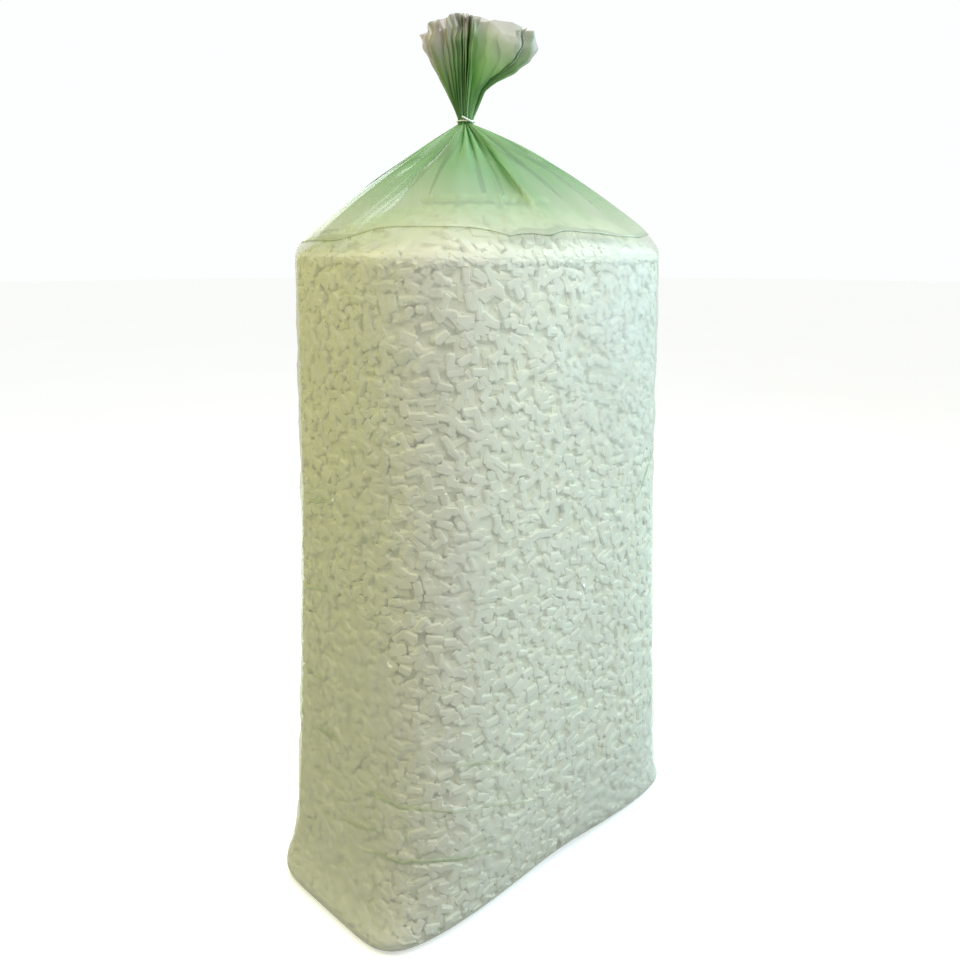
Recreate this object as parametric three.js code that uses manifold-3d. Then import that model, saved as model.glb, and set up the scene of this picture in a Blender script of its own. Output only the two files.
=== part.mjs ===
// Packing peanut bag: a tall sack of thin film, filled with loose foam packing peanuts, its mouth gathered
// into a neck and closed with a twisted wire. Millimetres, +Z up. The origin is the middle of the base, +X runs
// along the long sides of the sack and -Y is its front.
import * as THREE from "three";
import Module from "manifold-3d";
import { LoftGeometry } from "three/addons/geometries/LoftGeometry.js";
import { mergeVertices } from "three/addons/utils/BufferGeometryUtils.js";

// ---- Driving dimensions

// The filled part of the sack: half its length and half its width at a few heights. A squareness of 2 is an
// ellipse, and a higher one is closer to a rectangle.
const BODY = [
  { z: 0, halfLength: 466, halfWidth: 226, squareness: 6.6 },
  { z: 60, halfLength: 423, halfWidth: 239, squareness: 5.0 },
  { z: 240, halfLength: 396, halfWidth: 252, squareness: 4.4 },
  { z: 760, halfLength: 376, halfWidth: 251, squareness: 3.4 },
  { z: 1273, halfLength: 364, halfWidth: 248, squareness: 3.1 },
];
const BASE_ROUNDING = { atEnds: 46, atSides: 80 }; // radius of the edge round the base
const FOOT_SHARE = 0.55; // size of the flat oval that the sack rests on, as a share of its base
const FOOT_STEP = 0.1; // how much higher the base is outside that oval

const TIE_HEIGHT = 1508;
const TOTAL_HEIGHT = 1690;
const NECK = { x: -41, y: 14, radius: 15, halfHeight: 5 };
const NECK_PASSAGE = 1.8; // radius of the way that the gathered film leaves through the neck
const NECK_CLOSING = 0.12; // share of the cone, and of the ruffle, over which the passage opens out
const CONE_BULGE = 0.72; // 1 is a straight cone, and less is one that bulges
const CONE_FOLDS = { count: 8, depth: 0.08 };

// The free end of the film above the tie, a fan that leans to one side.
const RUFFLE = {
  turn: THREE.MathUtils.degToRad(-44),
  reachLeft: 80,
  reachRight: 122,
  reachAcross: 46,
  pleats: 8,
  pleatDepth: 0.12,
  endDrop: 0.2, // how much lower the rim is at the two ends of the fan, as a share of its height
  bendLeft: 0.8, // under 1 the film bows outwards on its way up, and over 1 it bows inwards
  bendRight: 1.9,
};

const FILM_WALL = 2;
const GAP = 0.3; // between pieces that touch
const RIM_STEP = 0.5; // how far the rim rises from its outer edge inwards, over twice the wall
const RIM_CLEARANCE = 10; // how far the cut for the inside of the film runs past its rim

const FILL_EDGE_DROP = 6; // from the shoulder of the film down to where the domed top of the fill starts
const FILL_DOME = { height: 98, flatness: 3 };

const PEANUT = { diameter: 15, length: 27, bevel: 2, facets: 8 };
const LOOSE_PEANUTS = 44;
const LOOSE_SPACING = 17.6; // scale of the spiral that the loose peanuts lie on
const GOLDEN_ANGLE = Math.PI * (3 - Math.sqrt(5));

const WIRE = { radius: 1.2, facets: 8, steps: 32 };
const TWIST = { radius: 1.6, rise: 8, start: [13, -12], end: [-6, -23.5] };

// How finely the lofted pieces are divided.
const RING_POINTS = 48;
const ROUNDING_STEPS = 4;
const SIDE_LEVELS = [150, 240, 420, 600, 780, 960, 1120];
const CONE_LEVELS = [0.08, 0.2, 0.35, 0.5, 0.65, 0.8, 0.88, 0.94, 1];
const RUFFLE_LEVELS = [0.06, 0.12, 0.25, 0.4, 0.55, 0.7, 0.85, 1];
const DOME_LEVELS = [1, 0.97, 0.9, 0.8, 0.68, 0.54, 0.38, 0.2];

const SHOULDER_HEIGHT = BODY.at(-1).z;
const NECK_BOTTOM = TIE_HEIGHT - NECK.halfHeight;
const NECK_TOP = TIE_HEIGHT + NECK.halfHeight;

const wasm = await Module();
wasm.setup();

// ---- Solids, for cutting and joining

function solidOf(geometry) {
  const positions = new THREE.BufferGeometry();
  positions.setAttribute("position", geometry.getAttribute("position"));
  positions.setIndex(geometry.index);
  const merged = mergeVertices(positions, 1e-3);
  return new wasm.Manifold(
    new wasm.Mesh({
      numProp: 3,
      vertProperties: merged.attributes.position.array,
      triVerts: new Uint32Array(merged.index.array),
    }),
  );
}

function geometryOf(solid) {
  const { vertProperties, triVerts } = solid.getMesh();
  const geometry = new THREE.BufferGeometry();
  geometry.setAttribute("position", new THREE.BufferAttribute(vertProperties, 3));
  geometry.setIndex(new THREE.BufferAttribute(triVerts, 1));
  geometry.computeVertexNormals();
  return geometry;
}

const solidLoft = (rings) => new LoftGeometry(rings, { capStart: true, capEnd: true });

// ---- Shapes

const mix = THREE.MathUtils.lerp;
const ease = (share) => THREE.MathUtils.smoothstep(share, 0, 1);

// The sack's section at a height, on smooth curves through the values in BODY.
function bodySection(z) {
  const at = Math.max(1, BODY.findIndex((station) => station.z >= z));
  const near = [at - 2, at - 1, at, at + 1].map((i) => BODY[THREE.MathUtils.clamp(i, 0, BODY.length - 1)]);
  const [, low, high] = near;
  const share = (z - low.z) / (high.z - low.z);
  const span = high.z - low.z;
  const slope = (before, after, key) => (after.z > before.z ? (after[key] - before[key]) / (after.z - before.z) : 0);
  const curve = (key) => {
    const startSlope = slope(near[0], high, key) * span;
    const endSlope = slope(low, near[3], key) * span;
    const s2 = share * share;
    const s3 = s2 * share;
    return (
      low[key] * (2 * s3 - 3 * s2 + 1) +
      startSlope * (s3 - 2 * s2 + share) +
      high[key] * (3 * s2 - 2 * s3) +
      endSlope * (s3 - s2)
    );
  };
  return { halfLength: curve("halfLength"), halfWidth: curve("halfWidth"), squareness: curve("squareness") };
}

// Distance from the middle of a section to its edge, in the direction of an angle.
function reachOf({ halfLength, halfWidth, squareness }, angle) {
  const along = Math.abs(Math.cos(angle) / halfLength) ** squareness;
  const across = Math.abs(Math.sin(angle) / halfWidth) ** squareness;
  return (along + across) ** (-1 / squareness);
}

// A closed ring of points, counterclockwise seen from above. reach and height are functions of the angle.
function ring(centre, reach, height) {
  return Array.from({ length: RING_POINTS }, (_, i) => {
    const angle = (2 * Math.PI * i) / RING_POINTS;
    return new THREE.Vector3(
      centre.x + reach(angle) * Math.cos(angle),
      centre.y + reach(angle) * Math.sin(angle),
      height(angle),
    );
  });
}

const AXIS = { x: 0, y: 0 };

// The flat oval under the sack, which its weight rests on.
function footRing(inset) {
  const base = bodySection(0);
  const foot = {
    halfLength: base.halfLength * FOOT_SHARE,
    halfWidth: base.halfWidth * FOOT_SHARE,
    squareness: 2,
  };
  return ring(AXIS, (angle) => reachOf(foot, angle), () => inset);
}

// The sack's reach at a height, set in from its outer surface.
function bodyReach(z, angle, setIn) {
  const { halfLength, halfWidth, squareness } = bodySection(z);
  return reachOf({ halfLength: halfLength - setIn, halfWidth: halfWidth - setIn, squareness }, angle);
}

const baseRounding = (angle) => mix(BASE_ROUNDING.atEnds, BASE_ROUNDING.atSides, Math.sin(angle) ** 4);

// Rings up the base edge and the sides of the sack, set in from the outer surface by an inset.
function bodyRings(inset, topHeight) {
  const rings = [footRing(inset)];
  for (let step = 0; step <= ROUNDING_STEPS; step++) {
    const turn = (Math.PI / 2) * (step / ROUNDING_STEPS);
    const lift = step === 0 ? FOOT_STEP : 0;
    const height = (angle) => baseRounding(angle) - (baseRounding(angle) - inset) * Math.cos(turn) + lift;
    const setIn = (angle) => baseRounding(angle) - (baseRounding(angle) - inset) * Math.sin(turn);
    rings.push(ring(AXIS, (angle) => bodyReach(height(angle), angle, setIn(angle)), height));
  }
  for (const z of [...SIDE_LEVELS, topHeight]) {
    rings.push(ring(AXIS, (angle) => bodyReach(z, angle, inset), () => z));
  }
  return rings;
}

// One ring of the cone of film, a share of the way from the shoulder to the neck. The cone's folds are deepest
// halfway up.
function coneRing(share, inset) {
  const shoulder = bodySection(SHOULDER_HEIGHT);
  const centre = { x: NECK.x * share, y: NECK.y * share };
  const closing = inset > 0 ? ease((share - 1 + NECK_CLOSING) / NECK_CLOSING) : 0;
  const reach = (angle) => {
    const fold = 1 - CONE_FOLDS.depth * Math.sin(Math.PI * share) * Math.sin((CONE_FOLDS.count * angle) / 2) ** 2;
    const outer = mix(reachOf(shoulder, angle), NECK.radius, share) * fold;
    return mix(outer - inset, NECK_PASSAGE, closing);
  };
  const z = mix(SHOULDER_HEIGHT, NECK_BOTTOM, share ** CONE_BULGE) - inset * (1 - closing);
  return ring(centre, reach, () => z);
}

// One ring of the ruffle, a share of the way from the top of the neck to the rim.
function ruffleRing(share, inset) {
  const closing = inset > 0 ? 1 - ease(share / NECK_CLOSING) : 0;
  const fanAngle = (angle) => angle - RUFFLE.turn;
  const rightness = (angle) => (1 + Math.cos(fanAngle(angle))) / 2;
  const reach = (angle) => {
    const along = Math.cos(fanAngle(angle)) > 0 ? RUFFLE.reachRight : RUFFLE.reachLeft;
    const fan = { halfLength: along, halfWidth: RUFFLE.reachAcross, squareness: 2 };
    const pleat = 1 - RUFFLE.pleatDepth * (1 - Math.cos(RUFFLE.pleats * fanAngle(angle)));
    const bend = mix(RUFFLE.bendLeft, RUFFLE.bendRight, rightness(angle));
    const outer = mix(NECK.radius, reachOf(fan, fanAngle(angle)) * pleat, share ** bend);
    return mix(outer - inset, NECK_PASSAGE, closing);
  };
  const height = (angle) => {
    const rise = (TOTAL_HEIGHT - NECK_TOP) * (1 - RUFFLE.endDrop * Math.cos(fanAngle(angle)) ** 2);
    return NECK_TOP + rise * share;
  };
  return ring({ x: NECK.x, y: NECK.y }, reach, height);
}

function neckRing(z, reach) {
  return ring({ x: NECK.x, y: NECK.y }, () => reach, () => z);
}

// The rings of the whole film on one side of its wall, from the base up to the rim of the ruffle.
function filmRings(inset) {
  return [
    ...bodyRings(inset, SHOULDER_HEIGHT - inset / 2),
    ...CONE_LEVELS.map((share) => coneRing(share, inset)),
    neckRing(NECK_TOP, inset > 0 ? NECK_PASSAGE : NECK.radius),
    ...RUFFLE_LEVELS.map((share) => ruffleRing(share, inset)),
  ];
}

// ---- Pieces

const filmMaterial = new THREE.MeshStandardMaterial({
  color: 0xb4d6ae,
  roughness: 0.3,
  metalness: 0,
  transparent: true,
  opacity: 0.45,
  side: THREE.DoubleSide,
});
const foamMaterial = new THREE.MeshStandardMaterial({ color: 0xe9e6d6, roughness: 0.95, metalness: 0 });
const wireMaterial = new THREE.MeshStandardMaterial({ color: 0xe8ebe4, roughness: 0.4, metalness: 0.2 });

// The film is its outer shape less the space inside it, which runs out through the neck and past the rim.
function filmBag() {
  const inside = filmRings(FILM_WALL);
  const pastTheRim = inside.at(-1).map((p) => new THREE.Vector3(p.x, p.y, TOTAL_HEIGHT + RIM_CLEARANCE));
  const insideTheRim = ruffleRing(1, 2 * FILM_WALL).map((p) => new THREE.Vector3(p.x, p.y, p.z + RIM_STEP));
  const outer = solidOf(solidLoft([...filmRings(0), insideTheRim]));
  const space = solidOf(solidLoft([...inside, pastTheRim]));
  const mesh = new THREE.Mesh(geometryOf(outer.subtract(space)), filmMaterial);
  mesh.name = "film_bag";
  return mesh;
}

const FILL_EDGE = SHOULDER_HEIGHT - FILL_EDGE_DROP;

// Height of the domed top of the fill at a level from 0, in the middle, to 1, at its edge.
const domeHeight = (level) => FILL_EDGE + FILL_DOME.height * (1 - level ** FILL_DOME.flatness);

function fillSection() {
  const outer = bodySection(FILL_EDGE);
  const inset = FILM_WALL + GAP;
  return {
    halfLength: outer.halfLength - inset,
    halfWidth: outer.halfWidth - inset,
    squareness: outer.squareness,
  };
}

function peanutFill() {
  const section = fillSection();
  const sides = bodyRings(FILM_WALL + GAP, FILL_EDGE).slice(0, -1);
  const dome = DOME_LEVELS.map((level) =>
    ring(AXIS, (angle) => level * reachOf(section, angle), () => domeHeight(level)),
  );
  const mesh = new THREE.Mesh(solidLoft([...sides, ...dome]), foamMaterial);
  mesh.name = "peanut_fill";
  return mesh;
}

// A peanut is a short foam cylinder with softened ends, along the Y axis.
function peanutShape() {
  const radius = PEANUT.diameter / 2;
  const end = PEANUT.length / 2;
  const profile = [
    [0, -end],
    [radius - PEANUT.bevel, -end],
    [radius, PEANUT.bevel - end],
    [radius, end - PEANUT.bevel],
    [radius - PEANUT.bevel, end],
    [0, end],
  ];
  return new THREE.LatheGeometry(profile.map(([x, y]) => new THREE.Vector2(x, y)), PEANUT.facets);
}

// The fill's dome as a height over the plane, and the direction that it faces there.
function domeAt(x, y) {
  const section = fillSection();
  const height = (px, py) => domeHeight(Math.hypot(px, py) / reachOf(section, Math.atan2(py, px)));
  const step = 1;
  const slopeX = (height(x + step, y) - height(x - step, y)) / (2 * step);
  const slopeY = (height(x, y + step) - height(x, y - step)) / (2 * step);
  return { z: height(x, y), facing: new THREE.Vector3(-slopeX, -slopeY, 1).normalize() };
}

// The loose peanuts lie on the dome along a spiral, each turned its own way.
function loosePeanuts() {
  const group = new THREE.Group();
  for (let i = 0; i < LOOSE_PEANUTS; i++) {
    const distance = LOOSE_SPACING * Math.sqrt(i + 0.5);
    const x = distance * Math.cos(i * GOLDEN_ANGLE);
    const y = distance * Math.sin(i * GOLDEN_ANGLE);
    const { z, facing } = domeAt(x, y);
    const lying = new THREE.Vector3(Math.cos(i * i), Math.sin(i * i), 0).projectOnPlane(facing).normalize();
    const mesh = new THREE.Mesh(peanutShape(), foamMaterial);
    mesh.name = "loose_peanut_" + String(i + 1).padStart(2, "0");
    mesh.quaternion.setFromUnitVectors(new THREE.Vector3(0, 1, 0), lying);
    mesh.position.set(x, y, z).addScaledVector(facing, PEANUT.diameter / 2 + GAP);
    group.add(mesh);
  }
  return group;
}

// One turn of wire round the neck, and its two ends twisted together into one stub that lies up and to the left
// across the front.
function wireTie() {
  const loop = new THREE.TorusGeometry(NECK.radius + GAP + WIRE.radius, WIRE.radius, WIRE.facets, WIRE.steps);
  const from = new THREE.Vector3(...TWIST.start, -TWIST.rise / 4);
  const to = new THREE.Vector3(...TWIST.end, (TWIST.rise * 3) / 4);
  const along = new THREE.Vector3().subVectors(to, from);
  const stub = new THREE.CylinderGeometry(TWIST.radius, TWIST.radius, along.length(), WIRE.facets);
  stub.applyQuaternion(new THREE.Quaternion().setFromUnitVectors(new THREE.Vector3(0, 1, 0), along.normalize()));
  stub.translate((from.x + to.x) / 2, (from.y + to.y) / 2, (from.z + to.z) / 2);
  const mesh = new THREE.Mesh(geometryOf(solidOf(loop).add(solidOf(stub))), wireMaterial);
  mesh.name = "wire_tie";
  mesh.position.set(NECK.x, NECK.y, TIE_HEIGHT);
  mesh.rotation.z = RUFFLE.turn;
  return mesh;
}

const group = new THREE.Group();
group.add(filmBag(), peanutFill(), loosePeanuts(), wireTie());

export default group;
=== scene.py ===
"""Packing peanut bag: a tall sack of thin green film, full of foam packing peanuts, its mouth gathered and tied
with a twisted wire. Metres, +Z up. The CAD frame gives the sizes and places, and this script makes the film and
the peanuts in detail, gives the wire its coating, and adds their materials and a plain stage."""

import math

import bpy
import numpy as np
from mathutils import Matrix, Vector


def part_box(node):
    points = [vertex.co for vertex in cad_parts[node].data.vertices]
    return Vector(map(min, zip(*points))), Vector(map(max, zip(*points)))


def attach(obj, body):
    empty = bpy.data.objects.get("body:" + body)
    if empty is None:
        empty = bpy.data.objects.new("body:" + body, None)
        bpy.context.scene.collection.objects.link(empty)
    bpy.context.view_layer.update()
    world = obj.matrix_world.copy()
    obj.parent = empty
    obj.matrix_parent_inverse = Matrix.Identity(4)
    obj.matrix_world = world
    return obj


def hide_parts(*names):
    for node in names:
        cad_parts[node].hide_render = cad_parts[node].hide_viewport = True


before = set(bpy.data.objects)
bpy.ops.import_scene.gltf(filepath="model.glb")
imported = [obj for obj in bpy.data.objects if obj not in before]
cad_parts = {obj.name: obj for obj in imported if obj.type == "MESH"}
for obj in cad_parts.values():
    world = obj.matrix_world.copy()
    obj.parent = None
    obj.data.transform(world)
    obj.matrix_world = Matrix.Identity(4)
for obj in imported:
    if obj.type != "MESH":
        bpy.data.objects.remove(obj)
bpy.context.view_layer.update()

bl_info = {
    "name": "Packing Peanut Bag",
    "version": (1, 0, 0),
    "blender": (4, 5, 0),
    "location": "View3D > Sidebar > Peanut Bag",
    "description": "Builds a tied film sack full of foam packing peanuts",
    "category": "Add Mesh",
}

TAU = 2 * math.pi
SEED = 20

# The filled part of the sack, as in the CAD: height, half its length, half its width, and its squareness, where 2
# is an ellipse and a higher one is closer to a rectangle.
BODY = np.array(
    (
        (0.000, 0.466, 0.226, 6.6),
        (0.060, 0.423, 0.239, 5.0),
        (0.240, 0.396, 0.252, 4.4),
        (0.760, 0.376, 0.251, 3.4),
        (1.273, 0.364, 0.248, 3.1),
    )
)
ROUND_AT_ENDS, ROUND_AT_SIDES = 0.046, 0.080
SHOULDER = float(BODY[-1, 0])
FILL_EDGE = SHOULDER - 0.006
DOME_RISE, DOME_FLATNESS = 0.098, 3

FILM_LOW, FILM_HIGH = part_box("film_bag")
FILL_LOW, FILL_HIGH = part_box("peanut_fill")
RIM_TOP = FILM_HIGH[2]
NECK_X, NECK_Y, NECK_RADIUS = -0.041, 0.014, 0.015
TIE_HEIGHT = 1.508
NECK_BOTTOM, NECK_TOP = TIE_HEIGHT - 0.005, TIE_HEIGHT + 0.005
CONE_BULGE = 0.72
CONE_PUFF = 0.020
RUFFLE_TURN = math.radians(-44)


# ---- Sizes and colours that a user would change


class FilmSettings(bpy.types.PropertyGroup):
    columns: bpy.props.IntProperty(name="Columns", description="Points around the film", default=480)
    side_rows: bpy.props.IntProperty(name="Side rows", description="Rows of points up the filled part", default=78)
    lump: bpy.props.FloatProperty(
        name="Lumps", description="How far the fill pushes the film out", default=0.0017, unit="LENGTH"
    )
    lap_depth: bpy.props.FloatProperty(
        name="Lap depth", description="Depth of the pleats that lap on the cone", default=0.010, unit="LENGTH"
    )
    crease_lap: bpy.props.FloatProperty(
        name="Crease lap", description="Overlap of the fold over the edge of the fill", default=0.012, unit="LENGTH"
    )
    cut_width: bpy.props.FloatProperty(
        name="Cut width", description="Distance round the film tube", default=2.17, unit="LENGTH"
    )
    cut_length: bpy.props.FloatProperty(
        name="Cut length", description="Length of the film from base to rim", default=2.00, unit="LENGTH"
    )


class PeanutSettings(bpy.types.PropertyGroup):
    diameter: bpy.props.FloatProperty(name="Diameter", description="Across one peanut", default=0.0180, unit="LENGTH")
    length: bpy.props.FloatProperty(name="Length", description="Along one peanut", default=0.0288, unit="LENGTH")
    bevel: bpy.props.FloatProperty(name="Bevel", description="Softened edge at its ends", default=0.0026, unit="LENGTH")
    footprint: bpy.props.FloatProperty(
        name="Footprint", description="Square metres of film to a peanut", default=0.00044
    )
    colour: bpy.props.FloatVectorProperty(
        name="Colour", description="Foam colour", size=3, subtype="COLOR", default=(0.91, 0.91, 0.87)
    )


class WireSettings(bpy.types.PropertyGroup):
    colour: bpy.props.FloatVectorProperty(
        name="Colour", description="Colour of the coated wire", size=3, subtype="COLOR", default=(0.80, 0.80, 0.76)
    )


class StageSettings(bpy.types.PropertyGroup):
    sky: bpy.props.FloatProperty(name="Sky", description="Brightness of the surroundings", default=1.0)
    floor_size: bpy.props.FloatProperty(name="Floor size", description="Across the floor", default=60, unit="LENGTH")
    lens: bpy.props.FloatProperty(name="Lens", description="Focal length in millimetres", default=33.4)


# ---- Shapes of the sack


def smooth(x):
    x = np.clip(x, 0, 1)
    return x * x * (3 - 2 * x)


def section(z):
    """Half length, half width and squareness of the sack at heights z, on smooth curves through BODY."""
    z = np.clip(np.asarray(z, float), 0, SHOULDER)
    high = np.clip(np.searchsorted(BODY[:, 0], z), 1, len(BODY) - 1)
    low, before, after = high - 1, np.maximum(high - 2, 0), np.minimum(high + 1, len(BODY) - 1)
    span = BODY[high, 0] - BODY[low, 0]
    t = ((z - BODY[low, 0]) / span)[..., None]
    start = (BODY[high] - BODY[before]) / (BODY[high, :1] - BODY[before, :1]) * span[..., None]
    end = (BODY[after] - BODY[low]) / (BODY[after, :1] - BODY[low, :1]) * span[..., None]
    value = (
        BODY[low] * (2 * t**3 - 3 * t**2 + 1)
        + start * (t**3 - 2 * t**2 + t)
        + BODY[high] * (3 * t**2 - 2 * t**3)
        + end * (t**3 - t**2)
    )
    return value[..., 1], value[..., 2], value[..., 3]


def oval(half_length, half_width, squareness, angle):
    """Distance from the middle of an oval to its edge."""
    along = np.abs(np.cos(angle) / half_length) ** squareness
    across = np.abs(np.sin(angle) / half_width) ** squareness
    return (along + across) ** (-1 / squareness)


def body_reach(z, angle, inset):
    a, b, n = section(z)
    return oval(a - inset, b - inset, n, angle)


def base_rounding(angle):
    return ROUND_AT_ENDS + (ROUND_AT_SIDES - ROUND_AT_ENDS) * np.sin(angle) ** 4


def angle_table(count=4096):
    """Angles at even distances round the sack, so that the film's columns are evenly spaced."""
    angle = np.linspace(-math.pi, math.pi, count + 1)
    reach = body_reach(np.full_like(angle, 0.76), angle, 0)
    x, y = reach * np.cos(angle), reach * np.sin(angle)
    walked = np.concatenate(([0], np.cumsum(np.hypot(np.diff(x), np.diff(y)))))
    return walked / walked[-1], angle, walked[-1]


SHARES, ANGLES, GIRTH = angle_table()


def angle_at(share):
    """Angle at a share of the way round, from 0 to 1, going on past either end."""
    turns = np.floor(share)
    return np.interp(share - turns, SHARES, ANGLES) + TAU * turns


ROUND_RUN, SIDE_RUN = 0.10, FILL_EDGE - 0.063


def side_point(share, run, inset):
    """A point on the side of the sack: share is the way round, and run the distance up from under its base."""
    angle = angle_at(share)
    rounding = base_rounding(angle)
    turn = np.clip(run / ROUND_RUN, 0, 1) * math.pi / 2
    low = rounding - (rounding - inset) * np.cos(turn)
    set_in = rounding - (rounding - inset) * np.sin(turn)
    up = np.clip((run - ROUND_RUN) / SIDE_RUN, 0, 1)
    z = low + (FILL_EDGE - rounding) * up
    reach = body_reach(z, angle, set_in)
    return np.stack((reach * np.cos(angle), reach * np.sin(angle), z), -1)


def dome_point(x, y, inset):
    """The top of the fill over a point of the plan."""
    angle = np.arctan2(y, x)
    edge = body_reach(np.full_like(angle, FILL_EDGE), angle, inset)
    level = np.clip(np.hypot(x, y) / edge, 0, 1)
    return np.stack((x, y, FILL_EDGE + (DOME_RISE - inset) * (1 - level**DOME_FLATNESS)), -1)


def frames_on(surface, first, second, step=0.002):
    """Points on a surface with their two directions and outward normal."""
    here = surface(first, second)
    one = surface(first + step, second) - surface(first - step, second)
    two = surface(first, second + step) - surface(first, second - step)
    one /= np.linalg.norm(one, axis=-1, keepdims=True)
    normal = np.cross(one, two)
    normal /= np.linalg.norm(normal, axis=-1, keepdims=True)
    return here, one, np.cross(normal, one), normal


def ripples(points, wavelength, seed, waves=14):
    """Smooth irregular waves through space, about -1 to 1, of roughly one wavelength."""
    rng = np.random.default_rng(seed)
    direction = rng.normal(size=(waves, 3))
    direction /= np.linalg.norm(direction, axis=1, keepdims=True)
    stretch = rng.uniform(0.6, 1.6, waves) * TAU / wavelength
    phase = rng.uniform(0, TAU, waves)
    return np.sin(points @ (direction * stretch[:, None]).T + phase).sum(-1) * math.sqrt(2 / waves)


# ---- Meshes


def mesh_object(name, points, quads, smooth_faces=True):
    """A mesh object at the origin from an array of points and one of faces, each with the same number of corners."""
    mesh = bpy.data.meshes.new(name)
    count, corners = quads.shape
    mesh.vertices.add(len(points))
    mesh.vertices.foreach_set("co", np.ascontiguousarray(points, np.float32).ravel())
    mesh.loops.add(count * corners)
    mesh.loops.foreach_set("vertex_index", np.ascontiguousarray(quads, np.int32).ravel())
    mesh.polygons.add(count)
    mesh.polygons.foreach_set("loop_start", np.arange(0, count * corners, corners, dtype=np.int32))
    mesh.polygons.foreach_set("use_smooth", np.full(count, smooth_faces))
    mesh.update(calc_edges=True)
    mesh.validate()
    made = bpy.data.objects.new(name, mesh)
    bpy.context.scene.collection.objects.link(made)
    return made


def deselect_all():
    if bpy.context.mode != "OBJECT":
        bpy.ops.object.mode_set(mode="OBJECT")
    bpy.ops.object.select_all(action="DESELECT")


def settle_in_place(made):
    """Puts an object's place, turn and size into its mesh."""
    deselect_all()
    made.select_set(True)
    bpy.context.view_layer.objects.active = made
    bpy.ops.object.transform_apply(location=True, rotation=True, scale=True)


# ---- Materials


def new_material(name):
    made = bpy.data.materials.new(name)
    made.use_nodes = True
    nodes = made.node_tree.nodes
    nodes.clear()
    output = nodes.new("ShaderNodeOutputMaterial")
    return made, nodes, made.node_tree.links, output


def ramp_node(nodes, links, source, stops):
    made = nodes.new("ShaderNodeValToRGB")
    ramp = made.color_ramp
    while len(ramp.elements) < len(stops):
        ramp.elements.new(0.5)
    for element, (place, colour) in zip(ramp.elements, stops):
        element.position = place
        element.color = (*colour, 1) if isinstance(colour, tuple) else (colour, colour, colour, 1)
    links.new(source, made.inputs["Fac"])
    return made.outputs["Color"]


def noise_node(nodes, links, source, scale, detail=3.0, stretch=(1, 1, 1), turn=(0, 0, 0)):
    mapping = nodes.new("ShaderNodeMapping")
    mapping.inputs["Scale"].default_value = stretch
    mapping.inputs["Rotation"].default_value = turn
    links.new(source, mapping.inputs["Vector"])
    made = nodes.new("ShaderNodeTexNoise")
    made.inputs["Scale"].default_value = scale
    made.inputs["Detail"].default_value = detail
    links.new(mapping.outputs["Vector"], made.inputs["Vector"])
    return made.outputs["Fac"]


def maths_node(nodes, links, operation, *values, clamp=False):
    made = nodes.new("ShaderNodeMath")
    made.operation = operation
    made.use_clamp = clamp
    for socket, value in zip(made.inputs, values):
        if isinstance(value, (int, float)):
            socket.default_value = value
        else:
            links.new(value, socket)
    return made.outputs["Value"]


def bump_node(nodes, links, height, distance, strength=1.0):
    made = nodes.new("ShaderNodeBump")
    made.inputs["Distance"].default_value = distance
    made.inputs["Strength"].default_value = strength
    links.new(height, made.inputs["Height"])
    return made.outputs["Normal"]


def foam_material(name, colour, shade=1.0):
    """Soft white foam: a pale skin with pores, a slightly different tone to each peanut."""
    made, nodes, links, output = new_material(name)
    where = nodes.new("ShaderNodeTexCoord").outputs["Object"]
    tone = noise_node(nodes, links, where, 38, 2)
    dark = tuple(c * 0.94 * shade for c in colour)
    pale = tuple(min(1, c * 1.03) * shade for c in colour)
    base = ramp_node(nodes, links, tone, ((0.35, dark), (0.65, pale)))
    pores = noise_node(nodes, links, where, 900, 2)
    skin = nodes.new("ShaderNodeBsdfPrincipled")
    skin.inputs["Roughness"].default_value = 0.85
    skin.inputs["Specular IOR Level"].default_value = 0.25
    links.new(base, skin.inputs["Base Color"])
    links.new(bump_node(nodes, links, pores, 0.0006, 0.6), skin.inputs["Normal"])
    links.new(skin.outputs["BSDF"], output.inputs["Surface"])
    return made


# Creases that the film's own drag leaves on the filled part, drawn as bumps, cloudier film and painted shade in them:
# how far round from the middle of the end and how high their middle is, half their run round the sack, how far they
# rise over it, how much they bow, and their strength.
DRAG_LINES = (
    (0.165, 0.300, 0.130, -0.004, -0.024, 1.0),
    (0.205, 0.190, 0.160, -0.008, -0.032, 1.1),
    (0.06, 0.215, 0.075, 0.020, 0.004, 0.8),
    (0.31, 0.365, 0.070, -0.024, -0.006, 0.7),
    (0.37, 0.250, 0.080, -0.030, -0.004, 0.6),
    (-0.05, 0.360, 0.050, -0.004, 0.008, 0.9),
    (-0.10, 0.470, 0.060, 0.006, 0.000, 0.9),
    (-0.10, 0.650, 0.080, 0.012, 0.006, 0.8),
    (-0.07, 0.830, 0.070, 0.012, 0.008, 0.7),
    (0.80, 0.840, 0.080, 0.070, 0.012, 1.6),
    (1.05, 0.520, 0.110, 0.012, -0.010, 0.8),
    (1.40, 0.300, 0.120, -0.016, -0.012, 0.8),
)
# Folds that run up the cone from the crease to the tie: how far round, their half width there, and their strength.
CONE_FOLDS = (
    (0.363, 0.012, 1.6),
    (0.255, 0.060, 0.9),
    (0.120, 0.035, 0.9),
    (-0.060, 0.020, 0.8),
    (0.560, 0.050, 0.8),
    (0.800, 0.030, 0.6),
    (1.150, 0.040, 0.9),
    (1.370, 0.020, 0.8),
)


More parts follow.
